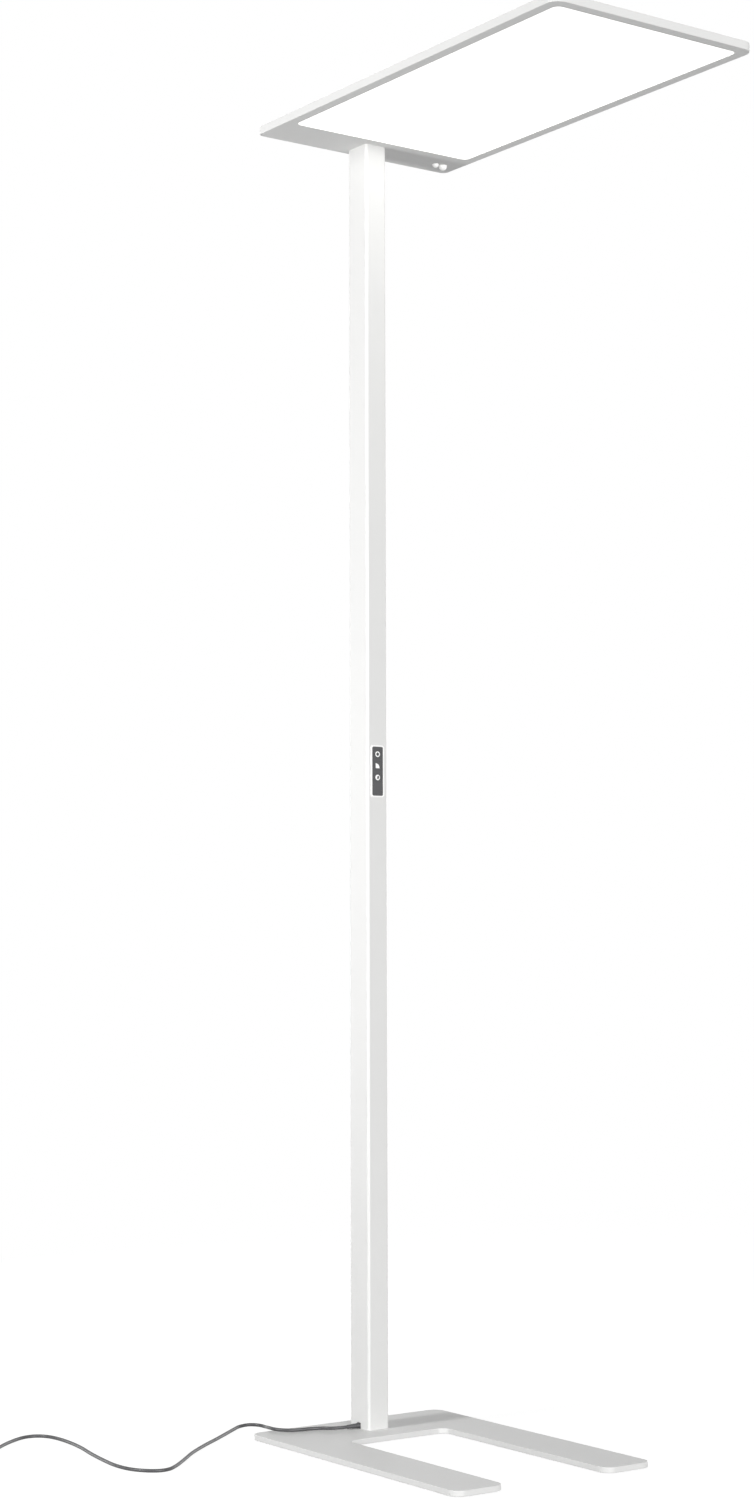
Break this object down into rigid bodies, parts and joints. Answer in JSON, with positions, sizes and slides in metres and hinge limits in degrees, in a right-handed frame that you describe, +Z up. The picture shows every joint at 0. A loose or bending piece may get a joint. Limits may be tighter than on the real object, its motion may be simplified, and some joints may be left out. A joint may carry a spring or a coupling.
{
  "type": "floor lamp",
  "caption": "Office floor lamp: a flat rectangular light head on one slim post above a forked floor plate, with a push-button panel on the post and a mains cord with plug.",
  "frame": {"origin": "on the floor, at the middle of the lamp's outline seen from above, cord left out", "axes": "+Z up along the post, -Y the way the light head and the open end of the floor plate reach, +X to the right seen from the open end's side looking back at the post"},
  "size_m": [0.782, 0.9989, 1.95],
  "materials": {
    "black_gloss": "polished moulding",
    "black_thermoplastic": "moulded",
    "clear_acrylic": "polished",
    "die_cast": "as cast",
    "green_laminate": "solder mask",
    "grey_cord": "smooth sheath",
    "grey_felt": "dense felt",
    "mirror_film": "glossy film",
    "nickel": "nickel plated",
    "opal_diffuser": "satin opal",
    "sensor_lens_white": "translucent satin",
    "sheet_steel": "zinc plated sheet",
    "white_foam": "closed-cell foam",
    "white_laminate": "white solder mask",
    "white_lead": "smooth sheath",
    "white_moulding": "fine matt moulding",
    "white_powder_coat": "satin powder coat",
    "zinc_steel": "zinc plated"
  },
  "bodies": {
    "lamp": {"carrier_screw": "zinc_steel", "control_bezel": "white_moulding", "control_board": "green_laminate", "control_board_screws": "zinc_steel", "control_faceplate": "black_gloss", "control_lead": "white_lead", "control_socket": "white_moulding", "cord_relief": "grey_cord", "cord_saddle": "black_thermoplastic", "cord_tie": "black_thermoplastic", "cover_screws": "zinc_steel", "daylight_cell": "black_thermoplastic", "daylight_lens": "sensor_lens_white", "diffuser": "opal_diffuser", "driver_board": "green_laminate", "driver_carrier": "sheet_steel", "driver_case": "sheet_steel", "driver_components": "black_thermoplastic", "driver_lid": "sheet_steel", "driver_screws": "zinc_steel", "fitting_screws": "zinc_steel", "floor_pads": "grey_felt", "floor_plate": "white_powder_coat", "foot_block": "die_cast", "foot_bolts": "zinc_steel", "foot_side_screws": "zinc_steel", "head_cover": "white_powder_coat", "head_frame": "white_powder_coat", "head_lead": "white_lead", "head_side_screws": "zinc_steel", "junction_board": "green_laminate", "junction_socket": "white_moulding", "led_board_left": "white_laminate", "led_board_right": "white_laminate", "light_guide": "clear_acrylic", "mains_cord": "grey_cord", "mains_cord_coil": "grey_cord", "mains_tail": "grey_cord", "mains_terminal": "white_moulding", "mirror_sheet": "mirror_film", "motion_detector": "zinc_steel", "motion_lens": "sensor_lens_white", "output_terminal": "white_moulding", "plug_body": "black_thermoplastic", "plug_pins": "nickel", "plug_relief": "grey_cord", "post": "white_powder_coat", "post_fitting": "die_cast", "press_strips": "white_foam", "saddle_screws": "zinc_steel", "sensor_board": "green_laminate", "sensor_board_screws": "zinc_steel", "strip_leads": "white_lead", "switch_housings": "black_thermoplastic"},
    "power_button": {"power_key": "black_gloss", "power_plunger": "white_moulding"},
    "dimmer_button": {"dimmer_key": "black_gloss", "dimmer_plunger": "white_moulding"},
    "sensor_button": {"sensor_key": "black_gloss", "sensor_plunger": "white_moulding"}
  },
  "joints": [
    {"name": "power_press", "type": "slide", "parent": "lamp", "child": "power_button", "axis": [0, 1, 0], "range_m": [0, 0.0008], "stiffness_N_per_m": 500, "springref_m": -0.001},
    {"name": "dimmer_press", "type": "slide", "parent": "lamp", "child": "dimmer_button", "axis": [0, 1, 0], "range_m": [0, 0.0008], "stiffness_N_per_m": 500, "springref_m": -0.001},
    {"name": "sensor_press", "type": "slide", "parent": "lamp", "child": "sensor_button", "axis": [0, 1, 0], "range_m": [0, 0.0008], "stiffness_N_per_m": 500, "springref_m": -0.001}
  ]
}
